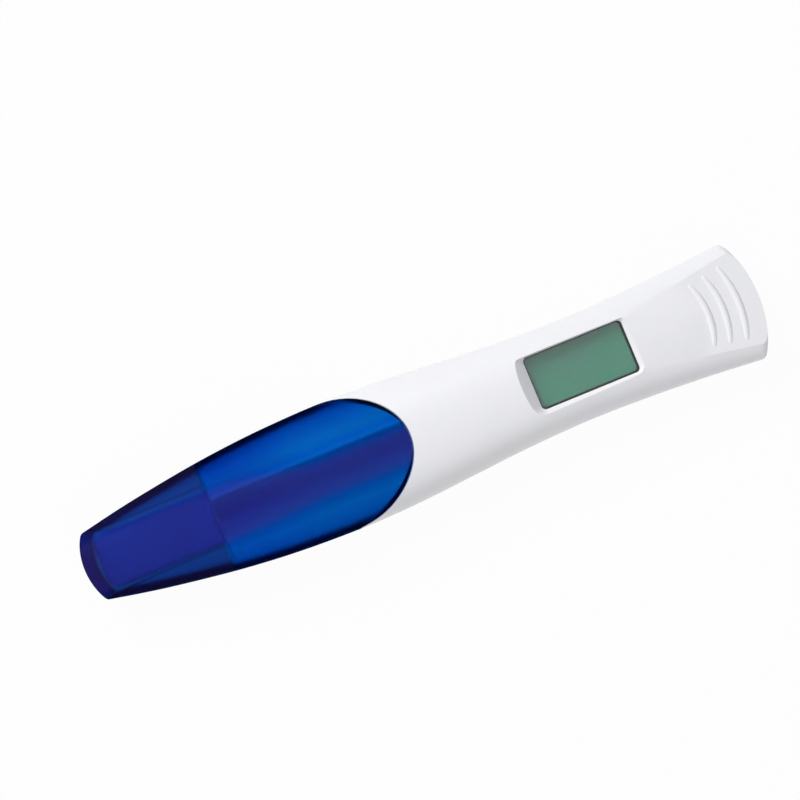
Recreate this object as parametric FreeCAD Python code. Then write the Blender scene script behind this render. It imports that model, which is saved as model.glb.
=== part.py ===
import FreeCAD, Part
import functools
import math
import os
from FreeCAD import Vector

# All sizes are in millimetres. While modelling, x runs from the cap's tip along the stick,
# y across it, and z is measured from the plane where the two housing shells meet.
# export() moves every piece into the shared frame: origin under the middle, resting on z = 0.

# Whole stick. Places along it are shares of its length.
LENGTH = 145.0
REST_DEPTH = 6.9
TOP_POWER = 2.3
BOTTOM_POWER = 2.8
# Share of the length from the tip, and the value there
HALF_WIDTHS = ((-0.014, 6.3), (0.069, 8.75), (0.138, 10.4), (0.207, 11.75), (0.276, 12.65),
               (0.345, 13.1), (0.4, 13.15), (0.469, 12.75), (0.552, 11.8), (0.634, 10.9),
               (0.724, 10.45), (0.814, 10.75), (0.897, 11.45), (0.966, 12.3), (1.014, 13.0))
CROWNS = ((-0.014, 3.5), (0.138, 5.6), (0.276, 7.0), (0.379, 7.45), (0.497, 7.6), (0.621, 7.4),
          (0.738, 7.0), (0.876, 5.85), (1.014, 4.5))
KEELS = ((-0.014, 3.5), (0.138, 5.6), (0.262, 6.9), (0.345, 7.2), (0.759, 7.2), (0.876, 6.4),
         (1.014, 4.9))
TIP_ARC = 15.5
TIP_ROUND = 0.9
GRIP_ARC = 26.9
GRIP_ROUND = 1.3
SECTION_POINTS = 20
SECTION_STEP = 2.5
# Sections begin at the bottom, so that no surface seam lies in the parting plane
START_ANGLE = -math.pi / 2

# Cap
CAP_WALL = 1.2
CAP_FIT = 0.25
TIP_CHEEK_WALL = 1.75
TIP_CHEEK_GAP = 0.6
CAP_END_WALL = 2.5
RIM_SIDE = 0.371 * LENGTH
RIM_REACH = 16.0
RIM_SOFTNESS = 0.15
RIM_POINTS = 48
RIM_GAP = 0.3
# Rounded rib along the inside of the cap's roof, which runs in a groove of the nose
GUIDE_HALF_WIDTH = 3.9
GUIDE_DROP = 0.75

# Housing shells and the nose that the cap covers
NOSE_START = 0.1952 * LENGTH
NOSE_WALL = 1.3
NOSE_ROUND = 0.8
NOSE_END = RIM_SIDE + RIM_REACH + 4.2
GRIP_NUB_RISE = 0.19
GRIP_NUB_RADIUS = 1.8
GRIP_NUB_X = 0.348 * LENGTH
GRIP_NUB_Z = 2.0
HOUSING_WALL = 1.5
LIP_DEPTH = 1.0
LIP_THICKNESS = 0.6
LIP_FIT = 0.08
RIB_BITE = 0.5
RIB_THICK = 1.2

# Display opening, in the top of the housing
DISPLAY_X = 0.7366 * LENGTH
VIEW_LENGTH = 21.1
VIEW_WIDTH = 11.2
VIEW_CORNER = 1.0
RECESS_Z = 5.0
RECESS_SLOPE = 1.0
RECESS_RISE = 4.0
LIP_THICK = 0.8
WINDOW_SINK = 0.05
WINDOW_FIT = 0.06
FLANGE = 1.2
FLANGE_THICK = 0.5
SEAT_FIT = 0.15

# Display stack, from the window down
GASKET_THICK = 0.25
GASKET_SHOWS = 0.35
GASKET_SHIFT = 0.15
POLARISER_THICK = 0.2
GLASS_THICK = 0.55
GLASS_BORDER = 1.6
CONTACT_LEDGE = 1.3
REFLECTOR_THICK = 0.2
REAR_BORDER = 0.4
FRAME_WALL = 0.7
FRAME_SHELF = 0.6
FRAME_FIT = 0.1
ZEBRA_WIDTH = 1.0

# Thumb facet and grip ribs
FACET_START = DISPLAY_X + VIEW_LENGTH / 2 + 0.65
FACET_HEIGHTS = (5.88, 4.42, 2.86)
FACET_LIFT = 0.6
GRIP_RIB_APEXES = (LENGTH - 10.9, LENGTH - 7.7, LENGTH - 4.3)
GRIP_RIB_SPREADS = (6.2, 6.9, 7.5)
GRIP_RIB_RADIUS = 0.8
GRIP_RIB_RISE = 0.42
GRIP_RIB_FADE = 0.55

# Circuit board and what it carries
BOARD_TOP = 0.3
BOARD_THICK = 0.8
BOARD_CORNER = 1.2
BOARD_BEHIND_DOME = 26.5
DOME_WIDTH = 7.0
DOME_RISE = 1.3
CHIP_DROP = 0.6

# Coin cell, standard 16 mm across and 1.6 mm thick
CELL_RADIUS = 8.0
CELL_THICK = 1.6
CELL_X = DISPLAY_X + 0.7
CONTACT_THICK = 0.25
CONTACT_GAP = 0.3
STRAP_HALF_WIDTH = 1.5

# Test strip
STRIP_WIDTH = 5.0
CARD_START = 0.3035 * LENGTH
CARD_THICK = 0.3
MEMBRANE_TOP = -2.05
MEMBRANE_THICK = 0.2
PAD_LENGTH = 11.0
PAD_OVERLAP = 2.0
PAD_THICK = 0.45
SINK_LENGTH = 13.5
SINK_OVERLAP = 0.7
SINK_EXTRA = 0.3
OPTICS_HALF_WIDTH = 4.2
STRIP_GUIDE = 0.8
STRIP_FIT = 0.15

# Absorbent wick
WICK_START = 3.3
WICK_HALF_WIDTH = 5.6
WICK_THICK = 2.8
WICK_CORNER = 2.6
WICK_EDGE = 0.4
WICK_FIT = 0.1
WICK_ON_PAD = 6.0

# Desiccant tablet
TABLET_X = 0.9 * LENGTH
TABLET_RADIUS = 4.0
TABLET_THICK = 3.0
TABLET_FLOOR = -4.1
TABLET_RING = 0.9

# Pins that join the shells
PIN_RADIUS = 0.75
BOSS_RADIUS = 1.45
PIN_FIT = 0.05
PIN_DEPTH = 2.2

BIG = LENGTH
CARD_TOP = MEMBRANE_TOP - MEMBRANE_THICK
CARD_UNDER = CARD_TOP - CARD_THICK
PAD_TOP = CARD_TOP + PAD_THICK
WICK_UNDER = PAD_TOP
WICK_TOP = WICK_UNDER + WICK_THICK
WICK_END = CARD_START + WICK_ON_PAD
BOARD_UNDER = BOARD_TOP - BOARD_THICK
WINDOW_UNDER = RECESS_Z - LIP_THICK - FLANGE_THICK
GASKET_UNDER = WINDOW_UNDER - GASKET_THICK
POLARISER_UNDER = GASKET_UNDER - POLARISER_THICK
FRONT_GLASS_UNDER = POLARISER_UNDER - GLASS_THICK
REAR_GLASS_UNDER = FRONT_GLASS_UNDER - GLASS_THICK
REFLECTOR_UNDER = REAR_GLASS_UNDER - REFLECTOR_THICK
GLASS_HALF_LENGTH = VIEW_LENGTH / 2 + GLASS_BORDER
REAR_HALF_WIDTH = VIEW_WIDTH / 2 + REAR_BORDER
GLASS_HALF_WIDTH = REAR_HALF_WIDTH + CONTACT_LEDGE
FRAME_HALF_LENGTH = GLASS_HALF_LENGTH + FRAME_FIT + FRAME_WALL
FRAME_HALF_WIDTH = GLASS_HALF_WIDTH + FRAME_FIT + FRAME_WALL
FRAME_START = DISPLAY_X - FRAME_HALF_LENGTH
FRAME_END = DISPLAY_X + FRAME_HALF_LENGTH
# The rib that holds the board down ahead of the display, then the parts before it
HOLD_X = FRAME_START - RIB_THICK - 1.4
DOME_X = HOLD_X - DOME_WIDTH / 2 - 2.2
BOARD_START = DOME_X - BOARD_BEHIND_DOME
BOARD_END = FRAME_END + 2.2
BOARD_HALF_WIDTH = FRAME_HALF_WIDTH
CARD_END = CELL_X - CELL_RADIUS - 4.0
PAD_END = CARD_START + PAD_LENGTH
SINK_START = CARD_END - SINK_LENGTH
MEMBRANE_SHOWS = SINK_START - SINK_OVERLAP - PAD_END - PAD_OVERLAP
SENSORS_X = PAD_END + PAD_OVERLAP + 0.54 * MEMBRANE_SHOWS
SENSOR_PITCH = 0.144 * MEMBRANE_SHOWS
WELL_WIDTH = 0.74 * SENSOR_PITCH
OPTICS_START = SENSORS_X - 2.8 * SENSOR_PITCH
OPTICS_END = SENSORS_X + 2.8 * SENSOR_PITCH
EMITTERS_X = tuple(SENSORS_X + k * SENSOR_PITCH for k in (-2, 0, 2))
DETECTORS_X = tuple(SENSORS_X + k * SENSOR_PITCH for k in (-1, 1))
# Where the cavity steps, from the nose to the grip end
NOSE_STEPS = (NOSE_START + NOSE_WALL, 0.276 * LENGTH, RIM_SIDE, NOSE_END)
BODY_STEPS = (NOSE_END - 0.5, FRAME_START - 1.6, FRAME_END + 2.4,
              TABLET_X + TABLET_RADIUS + 0.5, LENGTH - 3.5)
PIN_PLACES = ((NOSE_END + 6.0, 1), (NOSE_END + 6.0, -1), (BOARD_END + BOSS_RADIUS + 1.7, 1),
              (BOARD_END + BOSS_RADIUS + 1.7, -1), (LENGTH - 6.0, 0))


def smooth(stations, x):
    """The value at x of a soft curve through the stations."""
    last = len(stations) - 2
    i = 0
    while i < last and x > stations[i + 1][0]:
        i += 1

    def slope(k):
        a = stations[max(k - 1, 0)]
        b = stations[min(k + 1, len(stations) - 1)]
        return (b[1] - a[1]) / (b[0] - a[0])

    x0, v0 = stations[i]
    x1, v1 = stations[i + 1]
    step = x1 - x0
    u = (x - x0) / step
    return ((2 * u**3 - 3 * u**2 + 1) * v0 + (u**3 - 2 * u**2 + u) * step * slope(i)
            + (3 * u**2 - 2 * u**3) * v1 + (u**3 - u**2) * step * slope(i + 1))


def half_width(x):
    """Half the stick's width at x."""
    return smooth(HALF_WIDTHS, x / LENGTH)


def crown(x):
    """Height of the stick's top at x."""
    return smooth(CROWNS, x / LENGTH)


def keel(x):
    """Depth of the stick's underside at x, before the flat land is cut."""
    return smooth(KEELS, x / LENGTH)


def oval(angle):
    """A point of the oval one unit wide and high each way, rounder above than below."""
    c = math.cos(angle)
    s = math.sin(angle)
    power = TOP_POWER if s >= 0 else BOTTOM_POWER
    reach = (abs(c) ** power + abs(s) ** power) ** (-1 / power)
    return c * reach, s * reach


def skin_point(x, angle, inset=0.0, scale=1.0):
    """A point of the oval section at x, with y across and z up."""
    c, s = oval(angle)
    rise = crown(x) if s >= 0 else keel(x)
    y = (half_width(x) - inset) * c
    z = (rise - inset) * s
    return Vector(x, y * scale, z * scale)


def closed_curve(points):
    """A closed smooth edge through evenly numbered points."""
    count = len(points)
    curve = Part.BSplineCurve()
    marks = [i / count for i in range(count + 1)]
    curve.interpolate(Points=points, PeriodicFlag=True, Parameters=marks)
    return curve.toShape()


def section(x, inset):
    """The closed oval section at x as a wire."""
    turn = 2 * math.pi / SECTION_POINTS
    points = [skin_point(x, START_ANGLE + turn * i, inset) for i in range(SECTION_POINTS)]
    return Part.Wire([closed_curve(points)])


def skin(x0, x1, inset=0.0):
    """The solid inside the stick's skin from x0 to x1, moved inward by inset."""
    count = max(2, int(math.ceil((x1 - x0) / SECTION_STEP)))
    wires = [section(x0 + (x1 - x0) * i / count, inset) for i in range(count + 1)]
    return Part.makeLoft(wires, True, True)


def block(x0, x1, y0, y1, z0, z1):
    """A plain box between two corners."""
    return Part.makeBox(x1 - x0, y1 - y0, z1 - z0, Vector(x0, y0, z0))


def rounded_plate(x0, x1, half, corner, z0, z1):
    """A flat plate with four rounded corners, evenly to both sides of the middle."""
    plate = block(x0, x1, -half, half, z0, z1)
    upright = [e for e in plate.Edges if e.BoundBox.ZLength > (z1 - z0) * 0.99]
    return plate.makeFillet(corner, upright)


def rod(x, y, radius, z0, z1):
    """An upright cylinder."""
    return Part.makeCylinder(radius, z1 - z0, Vector(x, y, z0))


def joined(shapes):
    """One solid made of all the shapes."""
    whole = shapes[0].fuse(list(shapes[1:])) if len(shapes) > 1 else shapes[0]
    return whole.removeSplitter()


def end_form(inset):
    """The stick's outline from above: an arc at the tip and a flatter one at the grip."""
    tip = rod(TIP_ARC, 0, TIP_ARC - inset, -BIG, BIG)
    grip = rod(LENGTH - GRIP_ARC, 0, GRIP_ARC - inset, -BIG, BIG)
    middle = block(TIP_ARC, LENGTH - GRIP_ARC, -BIG, BIG, -BIG, BIG)
    return joined([middle, tip, grip])


def rim_cutter(x_shift, toward):
    """A ring of space that ends in the cap's curved rim and runs on along x by toward."""
    inner = []
    outer = []
    for i in range(RIM_POINTS):
        angle = START_ANGLE + 2 * math.pi * i / RIM_POINTS
        across = oval(angle)[0]
        up = math.sqrt(max(0.0, 1 - across * across))
        x = RIM_SIDE + RIM_REACH * up * math.tanh(up / RIM_SOFTNESS)
        shift = Vector(x_shift, 0, 0)
        inner.append(skin_point(x, angle, 0, 0.55) + shift)
        outer.append(skin_point(x, angle, 0, 1.35) + shift)
    face = Part.makeRuledSurface(closed_curve(inner), closed_curve(outer))
    return face.extrude(Vector(toward, 0, 0))


def rounded_end(shape, before, after, radius):
    """Rounds the closed edge at one end of the stick."""
    edges = []
    for edge in shape.Edges:
        box = edge.BoundBox
        if box.XMin > before and box.XMax < after and edge.Length > 1:
            edges.append(edge)
    return shape.makeFillet(radius, edges)


def rest_cut():
    """The space below the flat land that the stick lies on."""
    return block(-BIG, 4 * BIG, -BIG, BIG, -BIG, -REST_DEPTH)


def tip_cheeks():
    """Where the cap's wall is thicker, on both sides of the wick."""
    gap = WICK_HALF_WIDTH + TIP_CHEEK_GAP
    core = skin(-2, NOSE_START + 2, TIP_CHEEK_WALL)
    sides = [block(-1, NOSE_START - TIP_CHEEK_GAP, *span, -BIG, BIG) for span in ((gap, BIG), (-BIG, -gap))]
    return [side.cut(core) for side in sides]


def cap():
    """Translucent cover over the nose, with a rim that reaches forward above and below."""
    outside = skin(-1, NOSE_END).common(end_form(0))
    outside = rounded_end(outside, -1, 4, TIP_ROUND).cut(rest_cut())
    inside = skin(-1, NOSE_END + 1, CAP_WALL).common(end_form(CAP_END_WALL))
    inside = inside.cut([guide(NOSE_START + CAP_FIT, 0)] + tip_cheeks())
    return outside.cut([inside, rim_cutter(0, BIG)])


def guide(x0, grown):
    """The rounded rib under the cap's roof from x0 on, or with grown the groove for it."""
    count = int(math.ceil((NOSE_END - x0) / (2 * SECTION_STEP)))
    wires = []
    for i in range(count + 1):
        x = x0 + (NOSE_END - x0) * i / count
        roof = crown(x) - CAP_WALL
        half = GUIDE_HALF_WIDTH + grown
        low = Vector(x, 0, roof - GUIDE_DROP - grown)
        left = Vector(x, -half, roof + CAP_WALL / 4)
        right = Vector(x, half, roof + CAP_WALL / 4)
        wires.append(Part.Wire([Part.Arc(left, low, right).toShape(), Part.makeLine(right, left)]))
    return Part.makeLoft(wires, True, True)


def nose():
    """The narrower front of the housing, which the cap slides over."""
    shape = skin(NOSE_START, NOSE_END, CAP_WALL + CAP_FIT)
    shape = rounded_end(shape, NOSE_START - 1, NOSE_START + 1, NOSE_ROUND)
    mouth = WICK_HALF_WIDTH + WICK_FIT
    slot = block(NOSE_START - 1, NOSE_START + NOSE_WALL + 1, -mouth, mouth,
                 WICK_UNDER - WICK_FIT, WICK_TOP + WICK_FIT)
    return shape.cut([guide(NOSE_START - 1, CAP_FIT), slot])


def grip_nubs():
    """Four low pads on the nose's sides that steady the cap."""
    reach = half_width(GRIP_NUB_X) - CAP_WALL - CAP_FIT
    rise = crown(GRIP_NUB_X) - CAP_WALL - CAP_FIT
    at = reach * (1 - (GRIP_NUB_Z / rise) ** TOP_POWER) ** (1 / TOP_POWER)
    raised = skin(GRIP_NUB_X - GRIP_NUB_RADIUS, GRIP_NUB_X + GRIP_NUB_RADIUS,
                  CAP_WALL + CAP_FIT - GRIP_NUB_RISE)
    balls = [Part.makeSphere(GRIP_NUB_RADIUS, Vector(GRIP_NUB_X, side * at, up * GRIP_NUB_Z))
             for side in (1, -1) for up in (1, -1)]
    return [ball.common(raised) for ball in balls]


def facet_points(drop):
    """Three points of the thumb facet's arc, in the middle plane and lowered by drop."""
    low, middle, end = FACET_HEIGHTS
    past = LENGTH + 3.0
    return [Vector(FACET_START, 0, low - drop),
            Vector(FACET_START + (past - FACET_START) * 0.43, 0, middle - drop),
            Vector(past, 0, end - drop)]


def facet_cutter(drop):
    """The space above the thumb facet, lowered by drop."""
    a, b, c = facet_points(drop)
    corners = [c, Vector(c.x, 0, BIG), Vector(a.x - FACET_LIFT, 0, BIG),
               Vector(a.x - FACET_LIFT, 0, a.z + FACET_LIFT), a]
    lines = [Part.makeLine(p, q) for p, q in zip(corners, corners[1:])]
    face = Part.Face(Part.Wire([Part.Arc(a, b, c).toShape()] + lines))
    face.translate(Vector(0, -BIG, 0))
    return face.extrude(Vector(0, 2 * BIG, 0))


def facet_height(x):
    """Height of the thumb facet at x."""
    ring = Part.Arc(*facet_points(0)).toShape().Curve
    return ring.Center.z - math.sqrt(ring.Radius**2 - (x - ring.Center.x) ** 2)


def grip_ribs():
    """Three curved ribs on the facet, around the same centre as the grip end."""
    ribs = []
    centre_x = LENGTH - GRIP_ARC
    for apex, spread in zip(GRIP_RIB_APEXES, GRIP_RIB_SPREADS):
        around = apex - centre_x
        half = math.degrees(math.asin(spread / around))
        z = facet_height(apex) + GRIP_RIB_RISE - GRIP_RIB_RADIUS
        start = Vector(centre_x + around * math.cos(math.radians(half)), -spread, z)
        ring = Part.Circle(start, Vector(math.sin(math.radians(half)), math.cos(math.radians(half)), 0),
                           GRIP_RIB_RADIUS)
        disc = Part.Face(Part.Wire([ring.toShape()]))
        bar = disc.revolve(Vector(centre_x, 0, z), Vector(0, 0, 1), 2 * half)
        ends = [Part.makeSphere(GRIP_RIB_RADIUS, start),
                Part.makeSphere(GRIP_RIB_RADIUS, Vector(start.x, spread, z))]
        rib = bar.fuse(ends)
        dip = GRIP_RIB_RISE + facet_height(apex) - facet_height(start.x)
        fall = math.degrees(math.atan(GRIP_RIB_FADE * dip / (apex - start.x)))
        rib.rotate(Vector(apex, 0, z), Vector(0, 1, 0), -fall)
        ribs.append(rib)
    return ribs


def recess_cutter():
    """The display recess: a flat floor with walls that slope outward, and the opening below it."""
    start = DISPLAY_X - VIEW_LENGTH / 2
    end = DISPLAY_X + VIEW_LENGTH / 2
    half = VIEW_WIDTH / 2
    wires = []
    for up in (0.0, RECESS_RISE):
        out = up * RECESS_SLOPE
        plate = rounded_plate(start - out, end + out, half + out, VIEW_CORNER + out, 0, 1)
        floor = min(plate.Faces, key=lambda f: f.CenterOfMass.z)
        wire = floor.OuterWire
        wire.translate(Vector(0, 0, RECESS_Z + up))
        wires.append(wire)
    sloped = Part.makeLoft(wires, True, True)
    opening = rounded_plate(start, end, half, VIEW_CORNER, 0, RECESS_Z + 0.1)
    return joined([sloped, opening])


def oval_bar(x0, x1, inset, roof_drop):
    """A straight bar along x with the smallest section that the skin has between x0 and x1."""
    places = [x0 + (x1 - x0) * i / 8 for i in range(9)]
    half = min(half_width(x) for x in places) - inset
    above = min(crown(x) for x in places) - inset - roof_drop
    below = min(keel(x) for x in places) - inset
    points = []
    for i in range(SECTION_POINTS):
        across, up = oval(START_ANGLE + 2 * math.pi * i / SECTION_POINTS)
        points.append(Vector(x0, across * half, up * (above if up >= 0 else below)))
    face = Part.Face(Part.Wire([closed_curve(points)]))
    return face.extrude(Vector(x1 - x0, 0, 0))


def stepped_bar(steps, inset, roof_drop=0.0):
    """Straight bars end to end, one for each pair of steps."""
    return joined([oval_bar(a, b, inset, roof_drop) for a, b in zip(steps, steps[1:])])


@functools.lru_cache(maxsize=None)
def cavity(grown=0.0):
    """The space inside both housing shells, moved outward by grown."""
    front = stepped_bar(NOSE_STEPS, CAP_WALL + CAP_FIT + NOSE_WALL - grown, GUIDE_DROP - 0.4)
    rear = stepped_bar(BODY_STEPS, HOUSING_WALL - grown)
    roof = block(BODY_STEPS[1] - 1, BODY_STEPS[2] + 1, -BIG, BIG, RECESS_Z - LIP_THICK + grown, BIG)
    rear = rear.cut([facet_cutter(HOUSING_WALL - grown), roof])
    return joined([front, rear])


@functools.lru_cache(maxsize=None)
def housing_shell():
    """Both housing shells in one: nose, shoulder and body round the cavity."""
    body = skin(RIM_SIDE - RIM_REACH, LENGTH + 1).common(end_form(0))
    body = rounded_end(body, LENGTH - 6, LENGTH + 1, GRIP_ROUND)
    body = body.cut(rim_cutter(RIM_GAP, -BIG))
    outside = body.fuse([nose()] + grip_nubs())
    return outside.cut([rest_cut(), cavity()])


def lip_band(thickness, depth):
    """The upright band round the rear of the cavity, down to depth below the seam."""
    grown = stepped_bar(BODY_STEPS, HOUSING_WALL - thickness)
    band = grown.cut(cavity())
    return band.common(block(BODY_STEPS[0] + 3, LENGTH, -BIG, BIG, -depth, 0))


def inner_part(shapes):
    """Keeps what lies inside the housing, with a little bite into its wall."""
    return shapes[0].fuse(shapes[1:]).common(cavity(RIB_BITE))


def pins():
    """Where the pins that join the shells stand: x and y."""
    places = []
    for x, side in PIN_PLACES:
        y = side * (min(half_width(x - 2), half_width(x + 2)) - HOUSING_WALL - BOSS_RADIUS * 0.75)
        places.append((x, y))
    return places


def upper_seats():
    """Pockets under the display opening for the window's flange and the display frame."""
    half = VIEW_LENGTH / 2 + FLANGE + SEAT_FIT
    across = VIEW_WIDTH / 2 + FLANGE + SEAT_FIT
    flange = rounded_plate(DISPLAY_X - half, DISPLAY_X + half, across, VIEW_CORNER + FLANGE,
                           0, RECESS_Z - LIP_THICK)
    across = FRAME_HALF_WIDTH + SEAT_FIT
    frame = block(FRAME_START - SEAT_FIT, FRAME_END + SEAT_FIT, -across, across,
                  0, POLARISER_UNDER + SEAT_FIT)
    return [flange, frame]


def upper_housing():
    """Top shell with the display recess, thumb facet, grip ribs and joining pins."""
    shell = housing_shell().common(block(0, LENGTH + 5, -BIG, BIG, 0, BIG))
    shell = shell.cut([facet_cutter(0), recess_cutter()] + upper_seats())
    inside = [rod(x, y, BOSS_RADIUS, 0, BIG) for x, y in pins()]
    for x in (NOSE_START + 4.7, CARD_START):
        inside.append(block(x, x + RIB_THICK, -WICK_HALF_WIDTH, WICK_HALF_WIDTH, WICK_TOP, BIG))
    for x in (BOARD_START + 1.5, HOLD_X):
        inside.append(block(x, x + RIB_THICK, -BOARD_HALF_WIDTH + 1.6, BOARD_HALF_WIDTH - 1.6,
                            BOARD_TOP, BIG))
    joiners = [rod(x, y, PIN_RADIUS, -PIN_DEPTH, 1) for x, y in pins()]
    near = block(LENGTH - GRIP_ARC, LENGTH, -BIG, BIG, 0, BIG)
    ribs = [rib.common(near) for rib in grip_ribs()]
    lip = lip_band(LIP_THICKNESS, LIP_DEPTH)
    return shell.fuse([inner_part(inside), lip] + joiners + ribs)


def strip_cradle():
    """Ribs in the lower shell that carry the strip's card and guide its sides."""
    side = STRIP_WIDTH / 2 + STRIP_FIT
    rail = STRIP_WIDTH / 2 - 1.0
    ribs = []
    for sign in (1, -1):
        low, high = sorted((sign * (rail - STRIP_GUIDE), sign * rail))
        ribs.append(block(CARD_START + 1, CARD_END - 1, low, high, -BIG, CARD_UNDER))
        low, high = sorted((sign * side, sign * (side + STRIP_GUIDE)))
        ribs.append(block(WICK_END + 2, CARD_END, low, high, -BIG, CARD_TOP))
        low, high = sorted((sign * (WICK_HALF_WIDTH - 2.2), sign * (WICK_HALF_WIDTH - 1.2)))
        ribs.append(block(NOSE_START, CARD_START - 1, low, high, -BIG, WICK_UNDER))
    return ribs


def board_rests():
    """Ribs in the lower shell that the board lies on."""
    rests = []
    outer = BOARD_HALF_WIDTH + 1
    inner = OPTICS_HALF_WIDTH + 1
    for x in (BOARD_START + 0.6, HOLD_X):
        for low, high in ((-outer, -inner), (inner, outer)):
            rests.append(block(x, x + RIB_THICK, low, high, -BIG, BOARD_UNDER))
    rests.append(block(BOARD_END - 2.0, BOARD_END - 0.8, -inner, inner, -BIG, BOARD_UNDER))
    return rests


def lower_housing():
    """Bottom shell with the flat land, strip cradle, cell post and pin sockets."""
    shell = housing_shell().common(block(0, LENGTH + 5, -BIG, BIG, -BIG, 0))
    groove = lip_band(LIP_THICKNESS + LIP_FIT, LIP_DEPTH + LIP_FIT)
    inside = strip_cradle() + board_rests()
    under_cell = BOARD_UNDER - 2 * CONTACT_THICK - CELL_THICK
    post = rod(CELL_X, 0, 2 * STRAP_HALF_WIDTH, -BIG, under_cell)
    inside.append(post.cut(rod(CELL_X, 0, STRAP_HALF_WIDTH, -BIG, 0)))
    well = TABLET_RADIUS + CONTACT_GAP
    ring = rod(TABLET_X, 0, well + TABLET_RING, -BIG, TABLET_FLOOR + TABLET_THICK * 0.7)
    inside.append(ring.cut(rod(TABLET_X, 0, well, TABLET_FLOOR, 0)))
    inside += [rod(x, y, BOSS_RADIUS, -BIG, 0) for x, y in pins()]
    sockets = [rod(x, y, PIN_RADIUS + PIN_FIT, -PIN_DEPTH - 0.3, 1) for x, y in pins()]
    shell = shell.fuse([inner_part(inside)])
    for space in [groove] + sockets:
        shell = shell.cut(space)
    return shell


def display_window():
    """Clear pane that fills the opening, with a flange under the housing."""
    half = VIEW_LENGTH / 2
    across = VIEW_WIDTH / 2
    pane = rounded_plate(DISPLAY_X - half + WINDOW_FIT, DISPLAY_X + half - WINDOW_FIT,
                         across - WINDOW_FIT, VIEW_CORNER - WINDOW_FIT,
                         WINDOW_UNDER, RECESS_Z - WINDOW_SINK)
    flange = rounded_plate(DISPLAY_X - half - FLANGE, DISPLAY_X + half + FLANGE,
                           across + FLANGE, VIEW_CORNER + FLANGE,
                           WINDOW_UNDER, RECESS_Z - LIP_THICK)
    return joined([pane, flange])


def window_gasket():
    """Dark foam frame between the window and the display."""
    half = VIEW_LENGTH / 2
    across = VIEW_WIDTH / 2
    outer = rounded_plate(DISPLAY_X - half - FLANGE, DISPLAY_X + half + FLANGE,
                          across + FLANGE, VIEW_CORNER + FLANGE, GASKET_UNDER, WINDOW_UNDER)
    inner = rounded_plate(DISPLAY_X - half + GASKET_SHOWS, DISPLAY_X + half - GASKET_SHOWS,
                          across - GASKET_SHOWS, VIEW_CORNER * 0.8,
                          GASKET_UNDER - 1, WINDOW_UNDER + 1)
    inner.translate(Vector(-GASKET_SHIFT, GASKET_SHIFT, 0))
    return outer.cut(inner)


def display_sheet(half_length, half, under, thick):
    """One flat layer of the display."""
    return block(DISPLAY_X - half_length, DISPLAY_X + half_length, -half, half, under, under + thick)


def front_polariser():
    """Film on the display's front glass."""
    return display_sheet(GLASS_HALF_LENGTH - 0.3, REAR_HALF_WIDTH, POLARISER_UNDER, POLARISER_THICK)


def front_glass():
    """Front glass, wider than the rear one so that its contacts show below."""
    return display_sheet(GLASS_HALF_LENGTH, GLASS_HALF_WIDTH, FRONT_GLASS_UNDER, GLASS_THICK)


def rear_glass():
    """Rear glass of the display."""
    return display_sheet(GLASS_HALF_LENGTH, REAR_HALF_WIDTH, REAR_GLASS_UNDER, GLASS_THICK)


def reflector():
    """Reflecting film behind the display."""
    return display_sheet(GLASS_HALF_LENGTH - 0.3, REAR_HALF_WIDTH - 0.2,
                         REFLECTOR_UNDER, REFLECTOR_THICK)


def display_frame():
    """Frame that stands on the board and holds the glass above it."""
    outer = display_sheet(FRAME_HALF_LENGTH, FRAME_HALF_WIDTH, BOARD_TOP, POLARISER_UNDER - BOARD_TOP)
    inner = display_sheet(GLASS_HALF_LENGTH + FRAME_FIT, GLASS_HALF_WIDTH + FRAME_FIT,
                          BOARD_TOP - 1, POLARISER_UNDER - BOARD_TOP + 2)
    shelf = display_sheet(FRAME_HALF_LENGTH - FRAME_WALL / 2, REAR_HALF_WIDTH - 0.3,
                          REFLECTOR_UNDER - FRAME_SHELF, FRAME_SHELF)
    return joined([outer.cut(inner), shelf])


def zebra_strips():
    """Two soft connectors between the board and the front glass."""
    strips = []
    at = REAR_HALF_WIDTH + CONTACT_LEDGE / 2
    for side in (1, -1):
        strips.append(block(DISPLAY_X - GLASS_HALF_LENGTH + 1, DISPLAY_X + GLASS_HALF_LENGTH - 1,
                            side * at - ZEBRA_WIDTH / 2, side * at + ZEBRA_WIDTH / 2,
                            BOARD_TOP, FRONT_GLASS_UNDER))
    return strips


def circuit_board():
    """Long board with notches for the pins' bosses and rounded corners."""
    board = rounded_plate(BOARD_START, BOARD_END, BOARD_HALF_WIDTH, BOARD_CORNER,
                          BOARD_UNDER, BOARD_TOP)
    notches = [rod(x, y, BOSS_RADIUS + CONTACT_GAP, -2, 2) for x, y in pins()]
    return board.cut(notches)


def microcontroller():
    """Black resin dome over the bare chip."""
    radius = ((DOME_WIDTH / 2) ** 2 + DOME_RISE**2) / (2 * DOME_RISE)
    ball = Part.makeSphere(radius, Vector(DOME_X, 0, BOARD_TOP + DOME_RISE - radius))
    return ball.common(block(DOME_X - DOME_WIDTH, DOME_X + DOME_WIDTH, -DOME_WIDTH, DOME_WIDTH,
                             BOARD_TOP, BOARD_TOP + DOME_WIDTH))


def light_emitters():
    """Light sources above the membrane, on the board's underside."""
    long = 0.31 * WELL_WIDTH
    wide = 0.175 * WELL_WIDTH
    return [block(x - long, x + long, -wide, wide, BOARD_UNDER - CHIP_DROP, BOARD_UNDER)
            for x in EMITTERS_X]


def photodiodes():
    """Light sensors between the emitters."""
    long = 0.35 * WELL_WIDTH
    wide = 0.31 * WELL_WIDTH
    return [block(x - long, x + long, -wide, wide, BOARD_UNDER - CHIP_DROP, BOARD_UNDER)
            for x in DETECTORS_X]


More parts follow.
